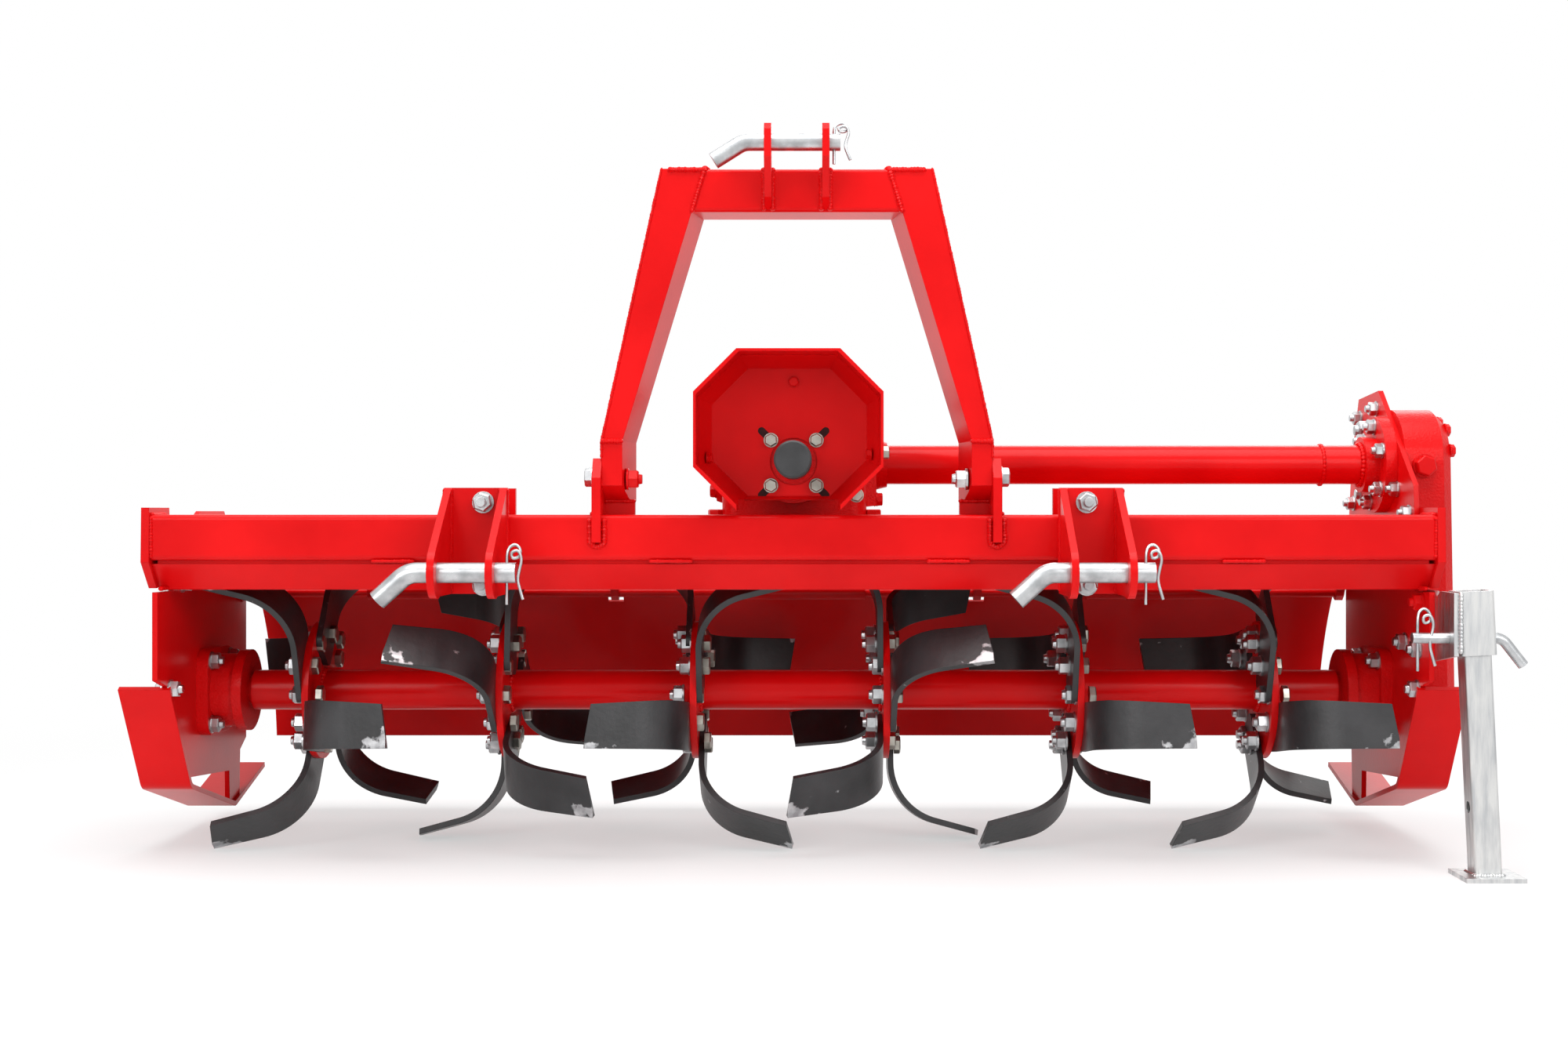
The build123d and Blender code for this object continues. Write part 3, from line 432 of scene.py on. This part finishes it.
for side in (-1, 1):
    outer_top, inner_top = [MAST_MIDDLE + side * half for half in LEG_TOP]
    outer_knee, inner_knee = [MAST_MIDDLE + side * half for half in LEG_KNEE]
    under_beam = inner_top + (inner_knee - inner_top) * BEAM_HEIGHT / (MAST_TOP - MAST_KNEE)
    seam(8, (inner_top, 0, MAST_TOP), (under_beam, 0, MAST_TOP - BEAM_HEIGHT))
    seam(8, (inner_top, 2, MAST_TOP + 1), (inner_top - side * 8, MAST_DEPTH - 2, MAST_TOP + 1))
    seam(8, (outer_top - side * 8, 0, MAST_TOP - 1), (inner_top, 0, MAST_TOP - 1))
    seam(8, (outer_knee, -0.5, MAST_KNEE), (inner_knee, -0.5, MAST_KNEE))
    seam(5, (outer_top, 1, MAST_TOP), (outer_knee, 1, MAST_KNEE), (outer_knee, 1, EAR_TOP + 1))
    # Each ear's foot on the front and the top of the bar
    ear_outer, ear_middle, ear_inner = [outer_knee + side * off for off in (13, 5, -3)]
    seam(9, (ear_outer, -0.5, BAR_TOP - 5), (ear_outer, -0.5, EAR_FOOT), (ear_middle, -0.5, EAR_FOOT - 4),
         (ear_inner, -0.5, EAR_FOOT), (ear_inner, -0.5, BAR_TOP - 5))
    seam(7, (ear_outer - side * 2, 4, BAR_TOP + 1), (ear_outer - side * 2, BAR_DEPTH - 2, BAR_TOP + 1))
    # The bar's end plate, the front lip and the deck at the side plate
    bar_end = side * (HALF_WIDTH - 1)
    seam(7, (bar_end, 1, BAR_BOTTOM + 3), (bar_end, 1, BAR_TOP - 3))
    seam(7, (bar_end, 4, BAR_TOP), (bar_end, BAR_DEPTH - 4, BAR_TOP))
    seam(6, (side * (INNER_HALF - 3), 60, 315), (side * (INNER_HALF - 3), 9, 315))
    seam(6, (side * (INNER_HALF - 1), 240, 389), (side * (INNER_HALF - 1), 120, 389))
    # Both faces of the top link's ear, the leg's foot, and both faces of the lower link's two ears
    for off in (27, 37):
        ear = MAST_MIDDLE + side * off
        seam(8, (ear, -1, MAST_TOP - BEAM_HEIGHT + 2), (ear, -1, MAST_TOP))
    seam(6, (outer_knee, 36, MAST_FOOT - 0.5), (outer_knee - side * 34, 36, MAST_FOOT - 0.5))
    for off in (-27, -35, 35, 27):
        ear = LINK_MIDDLE + side * LINK_HALF + off
        seam(5, (ear, -9, BRACKET_LOW), (ear, -9, BRACKET_HIGH))
for x in (-470, -160, 150, 480):
    seam(6, (x, 1, BAR_BOTTOM - 1), (x + 46, 1, BAR_BOTTOM - 1))
ring_bead(frame_welds, 634, DRIVE_DEPTH, DRIVE_HEIGHT, radius=24, width=5)
ring_bead(frame_welds, 681, DRIVE_DEPTH, DRIVE_HEIGHT, radius=25, width=7)
finished(frame_welds, "frame_welds", red_paint, "frame")

# Frame fasteners: studs that clamp the hitch brackets round the bar, and the bolts of the mast's
# feet, bearings, skids and drive flange. Those fitted after painting are bright, the rest red.
NUT_19, HEAD_19 = (19, 11, 2.5), (19, 8, 2.5)
NUT_17, HEAD_17 = (17, 9, 2, 4), (17, 7, 2)
NUT_15 = (15, 8, 2, 4)
CLAMP_STUDS = (-344.5, 326)
STUD_LOW, STUD_HIGH = 320, 411.8        # the upper stud passes over the bar, the lower under it
BEARING_FACE = 698          # inner face of the rotor's bearings and of the drive flange
BEARING_BOLTS = 38          # half the spacing of a bearing's bolts
FLANGE_CIRCLE = 46
MAST_HEAD, MAST_NUT = 228, 191.5        # mast's middle to the head and the nut at its foot
CASE_FACE = 775             # outer face of the chain case
bright_bolts, red_bolts = [], []
for x in CLAMP_STUDS:
    for z in (STUD_HIGH, STUD_LOW):
        fasten(bright_bolts, (x, -8, z), AHEAD, 0.2, *NUT_19, 8)
    disc(bright_bolts, set_at(place(x, 0, STUD_HIGH), BEHIND), 6, BAR_DEPTH, sides=16)
    fasten(bright_bolts, (x, BAR_DEPTH + 8, STUD_HIGH), BEHIND, 0.3, *NUT_19, 6)
for side in (-1, 1):
    fasten(bright_bolts, (MAST_MIDDLE + side * MAST_HEAD, 18, 440), (side, 0, 0), 0.2, *HEAD_19)
    inner_nuts = red_bolts if side < 0 else bright_bolts
    fasten(inner_nuts, (MAST_MIDDLE + side * MAST_NUT, 18, 438), (-side, 0, 0), 0.5, *NUT_19, 4)
    for back in (-BEARING_BOLTS, BEARING_BOLTS):
        for up in (BEARING_BOLTS, -BEARING_BOLTS):
            y, z = ROTOR_DEPTH + back, ROTOR_HEIGHT + up
            fasten(bright_bolts, (side * BEARING_FACE, y, z), (-side, 0, 0), back, *NUT_17)
            if side < 0:
                fasten(bright_bolts, (-HALF_WIDTH, y, z), LEFT, up, *HEAD_17)
for y, z, parts in ((95, 318, bright_bolts), (236, 330, bright_bolts), (340, 296, red_bolts),
                    (52, 199, bright_bolts)):
    fasten(parts, (-INNER_HALF, y, z), RIGHT, 0.4, *NUT_17)
    fasten(parts, (-HALF_WIDTH, y, z), LEFT, 0.1, *HEAD_17)
for y, z, parts in ((35, 299, red_bolts), (44, 245, bright_bolts), (98, 250, bright_bolts),
                    (52, 199, bright_bolts)):
    fasten(parts, (INNER_HALF, y, z), LEFT, 0.4, *NUT_17)
for turn in range(6):
    seat = on_circle(DRIVE_DEPTH, DRIVE_HEIGHT, FLANGE_CIRCLE, radians(60 * turn + 20))
    fasten(bright_bolts, (BEARING_FACE, *seat), LEFT, turn, *NUT_15)
for y, z, across in ((217, 527, 15), (288, 519, 15), (252, 502, 22), (129, 428, 15), (248, 423, 22),
                     (318, 412, 15), (82, 400, 15)):
    fasten(bright_bolts, (INNER_HALF, y, z), LEFT, y, across, across * 0.55, 2, 4)
for turn in range(10):
    angle = radians(36 * turn + 18)
    rim = (DRIVE_DEPTH, DRIVE_HEIGHT, 50) if sin(angle) > 0 else (ROTOR_DEPTH, ROTOR_HEIGHT, 78)
    fasten(red_bolts, (CASE_FACE, *on_circle(*rim, angle)), RIGHT, turn, 13, 5, 1.5)
finished(bright_bolts, "frame_bolts", bright_zinc, "frame")
finished(red_bolts, "painted_bolts", red_paint, "frame")

# Gearbox covers: a round cover on the left, a square one behind, the drive tube's flange on the
# right and a plug on top, each bolted on and painted with the casting.
GEARBOX_HALF, GEARBOX_BACK = 85, 260
GEARBOX_FOOT, GEARBOX_TOP = 394, 522
LEFT_COVER, BACK_COVER, TUBE_FLANGE = 9, 8, 12      # thicknesses
COVER_HALF = 42             # half the spacing of a square cover's bolts
COVER_BOLT = (13, 6, 1.5)
covers = []
disc(covers, set_at(place(-GEARBOX_HALF, DRIVE_DEPTH, DRIVE_HEIGHT), LEFT), 47, LEFT_COVER, sides=40, top=44)
disc(covers, set_at(place(0, GEARBOX_BACK, DRIVE_HEIGHT), BEHIND, pi / 4), 74, BACK_COVER, sides=4, top=71)
right_face = place(GEARBOX_HALF, DRIVE_DEPTH, DRIVE_HEIGHT)
disc(covers, set_at(right_face, RIGHT, pi / 4), 72, TUBE_FLANGE, sides=4, top=70)
disc(covers, set_at(right_face, RIGHT), 33, 26, sides=32, top=27)
for turn in range(6):
    seat = on_circle(DRIVE_DEPTH, DRIVE_HEIGHT, 37, pi / 3 * turn)
    fasten(covers, (-GEARBOX_HALF - LEFT_COVER, *seat), LEFT, turn, *COVER_BOLT)
for off in (-COVER_HALF, COVER_HALF):
    for up in (-COVER_HALF, COVER_HALF):
        height = DRIVE_HEIGHT + up
        fasten(covers, (off, GEARBOX_BACK + BACK_COVER, height), BEHIND, up, *COVER_BOLT)
        fasten(covers, (GEARBOX_HALF + TUBE_FLANGE, DRIVE_DEPTH + off, height), RIGHT, up, *COVER_BOLT)
    fasten(covers, (off * 2.2, 130, GEARBOX_FOOT), UP, 0.3, 17, 8, 2)
    fasten(covers, (off * 2.2, 240, GEARBOX_FOOT), UP, 0.8, 17, 8, 2)
fasten(covers, (-30, DRIVE_DEPTH, GEARBOX_TOP), UP, 0.3, 22, 9, 3)
finished(covers, "gearbox_covers", red_casting, "frame")

# Chain case plug: the oil plug is a hexagon on a round flange. It is screwed into the front of the
# chain case and painted with it.
plug = []
fasten(plug, (740, 119.5, 455), AHEAD, 0.2, 22, 9, 4)
finished(plug, "chain_case_plug", red_paint, "frame")

# Shield: a folded steel guard round the input shaft, held to the gearbox's neck by four bolts in
# radial slots, with small screws round its rim.
SHIELD_FACE = 29.9          # front of the shield's back plate
SHIELD_HEIGHT = 456.5       # middle of its four bolts
BOLT_OUT, SLOT_OUT = 25.7, 32           # each way from there to a bolt and to the middle of its slot
SLOT_HALF, SLOT_RADIUS = 6, 4.2
slot_shade, shield_bolts, shield_screws = [], [], []
for across in (-1, 1):
    for up in (-1, 1):
        spot = (across * BOLT_OUT, SHIELD_FACE, SHIELD_HEIGHT + up * BOLT_OUT)
        fasten(shield_bolts, spot, AHEAD, across + up, 13, 7, 1.6)
        # Each slot is a thin dark sheet on the shield's face: painted shade for the shadow inside the slot.
        centre = place(across * SLOT_OUT, SHIELD_FACE + 0.3, SHIELD_HEIGHT + up * SLOT_OUT)
        tilt = set_at(centre, AHEAD, across * up * pi / 4)
        for shift in (-SLOT_HALF, SLOT_HALF):
            disc(slot_shade, tilt @ Matrix.Translation((shift / 1000, 0, 0)), SLOT_RADIUS, 0.4, sides=20)
        size = Matrix.Diagonal((2 * SLOT_HALF / 1000, 2 * SLOT_RADIUS / 1000, 0.0007, 1))
        stamped(slot_shade, tilt @ size, "slot", lambda shape: bmesh.ops.create_cube(shape, size=1))
for parts, spot, way, across in (
        (shield_screws, (0, SHIELD_FACE, 548), AHEAD, 10), (shield_screws, (-98, 16, 462), RIGHT, 10),
        (shield_screws, (88, 16, 466), LEFT, 10), (shield_bolts, (71, SHIELD_FACE, 420), AHEAD, 13),
        (shield_bolts, (98.5, -12, 467), RIGHT, 13)):
    fasten(parts, spot, way, 0.3, across, across * 0.5, 1.5)
finished(shield_bolts, "shield_bolts", dull_zinc, "frame")
finished(shield_screws, "shield_screws", red_paint, "frame")
# The slots' near-black colour is painted shade, standing for the shadow inside each slot.
slot_shadow, tree, shader = material("slot_shadow", (0.02, 0.002, 0.002), 0.9)
shadow = ramp(tree, noise_on(tree, 200.0), (0.012, 0.001, 0.001), (0.03, 0.003, 0.003))
tree.links.new(shadow, shader.inputs["Base Color"])
finished(slot_shade, "shield_slot_shade", slot_shadow, "frame")

# Input shaft and cap: a machined shaft with a soft black cap pushed over its splines.
# The shaft has fine marks from turning, and the cap is slightly rough.
black_cap, tree, shader = material("black_cap", (0.018, 0.018, 0.019), 0.5)
soft_black = ramp(tree, noise_on(tree, 40.0), (0.014, 0.014, 0.015), (0.028, 0.028, 0.03))
tree.links.new(soft_black, shader.inputs["Base Color"])
bump(tree, shader, noise_on(tree, 500.0), strength=0.15, distance=0.0005, edge=0.0008)
coated(["pto_cap"], black_cap)
turned = zinc_coat("machined_steel", (0.30, 0.30, 0.31), (0.46, 0.46, 0.47), 0.30, stretch=(1, 6, 1))
coated(["pto_shaft"], turned)

# Parking stand: square tube in a square socket, satin zinc plated, drawn lengthwise.
# The socket and the foot are welded on, and the beads are plated with them.
satin_zinc = zinc_coat("satin_zinc", (0.46, 0.47, 0.48), (0.68, 0.68, 0.67), 0.36, (5, 5, 0.7), 30.0)
coated(["stand_socket", "stand_leg", "stand_foot", "stand_bracket"], satin_zinc)
LEG_LEFT, LEG_RIGHT, LEG_HALF = -0.018, 0.013, 0.016    # leg's faces from the foot's middle, in metres
SOCKET_FRONT, SOCKET_REAR = -60, -21
SOCKET_X = 725
foot_low, foot_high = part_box("stand_foot")
foot_middle = (foot_low + foot_high) / 2
around = ((LEG_LEFT, -LEG_HALF), (LEG_RIGHT, -LEG_HALF), (LEG_RIGHT, LEG_HALF), (LEG_LEFT, LEG_HALF),
          (LEG_LEFT, -LEG_HALF))
foot_weld = []
bead(foot_weld, [Vector((foot_middle.x + x, foot_middle.y + y, foot_high.z)) for x, y in around], 6, 3.0)
finished(foot_weld, "foot_weld", satin_zinc, "stand")
socket_weld = []
for y in (SOCKET_FRONT, SOCKET_REAR):
    bead(socket_weld, [place(SOCKET_X, y, 248), place(SOCKET_X, y, 312)], 7, 4.0)
finished(socket_weld, "socket_weld", satin_zinc, "frame")


# Floor: a pale studio floor that fades to white away from the machine, for the camera and in
# reflections only. The world is white to them as well, and dim as a light.
def seen_directly(tree):
    """1 for a ray from the camera or off a glossy surface, 0 for any other."""
    rays = tree.nodes.new("ShaderNodeLightPath")
    return worked_out(tree, "ShaderNodeMath", "MAXIMUM", rays.outputs["Is Camera Ray"],
                      rays.outputs["Is Glossy Ray"])


floor_shape = bmesh.new()
bmesh.ops.create_grid(floor_shape, x_segments=1, y_segments=1, size=8)
floor_mesh = bpy.data.meshes.new("floor")
floor_shape.to_mesh(floor_mesh)
floor_shape.free()
floor = bpy.data.objects.new("floor", floor_mesh)
bpy.context.scene.collection.objects.link(floor)
pale, tree, shader = material("pale_floor", (0.88, 0.88, 0.88), 0.7)
floor_mesh.materials.append(pale)
here = tree.nodes.new("ShaderNodeTexCoord").outputs["Object"]
fade = tree.nodes.new("ShaderNodeMapRange")
fade.interpolation_type = "SMOOTHSTEP"
fade.inputs["From Min"].default_value = 0.7
fade.inputs["From Max"].default_value = 2.0
fade.inputs["To Min"].default_value = 0.5
tree.links.new(worked_out(tree, "ShaderNodeVectorMath", "LENGTH", here), fade.inputs["Value"])
share = worked_out(tree, "ShaderNodeMath", "MULTIPLY", fade.outputs["Result"], seen_directly(tree))
glow = tree.nodes.new("ShaderNodeEmission")
mixed = tree.nodes.new("ShaderNodeMixShader")
tree.links.new(share, mixed.inputs["Fac"])
tree.links.new(shader.outputs["BSDF"], mixed.inputs[1])
tree.links.new(glow.outputs["Emission"], mixed.inputs[2])
tree.links.new(mixed.outputs["Shader"], tree.nodes["Material Output"].inputs["Surface"])

scene = bpy.context.scene
scene.view_settings.view_transform = "Standard"
world = bpy.data.worlds.new("studio")
scene.world = world
world.use_nodes = True
tree = world.node_tree
dim = tree.nodes["Background"]
dim.inputs["Color"].default_value = (1, 1, 1, 1)
dim.inputs["Strength"].default_value = 0.36
white = tree.nodes.new("ShaderNodeBackground")
white.inputs["Color"].default_value = (1, 1, 1, 1)
white.inputs["Strength"].default_value = 1.0
choice = tree.nodes.new("ShaderNodeMixShader")
tree.links.new(seen_directly(tree), choice.inputs["Fac"])
tree.links.new(dim.outputs["Background"], choice.inputs[1])
tree.links.new(white.outputs["Background"], choice.inputs[2])
tree.links.new(choice.outputs["Shader"], tree.nodes["World Output"].inputs["Surface"])


# Lamps and camera: soft boxes overhead, in front and behind, and the camera just above the bar's
# height and square to it, as in the photograph.
def soft_box(name, power, size, spot, aim=(0, 0, 0.3)):
    """Area lamp at spot that shines at aim."""
    lamp = bpy.data.lights.new(name, "AREA")
    lamp.shape = "RECTANGLE"
    lamp.size, lamp.size_y = size
    lamp.energy = power
    holder = bpy.data.objects.new(name, lamp)
    holder.location = spot
    holder.rotation_euler = (Vector(aim) - Vector(spot)).to_track_quat("-Z", "Y").to_euler()
    scene.collection.objects.link(holder)


soft_box("overhead", 62, (2.6, 1.6), (0, -0.5, 2.3))
soft_box("front_left", 27, (1.6, 1.2), (-1.7, -2.6, 1.5))
soft_box("front_right", 27, (1.6, 1.2), (1.7, -2.6, 1.5))
soft_box("behind", 30, (2.4, 1.2), (0.6, 2.4, 1.9))

camera_data = bpy.data.cameras.new("camera")
camera_data.sensor_width = 36
camera_data.lens = 45.9
camera_data.shift_x = -0.018
camera_data.shift_y = -0.00725
camera = bpy.data.objects.new("camera", camera_data)
camera.location = place(21, -2230, 402)
camera.rotation_euler = (pi / 2, 0, 0)
scene.collection.objects.link(camera)
scene.camera = camera
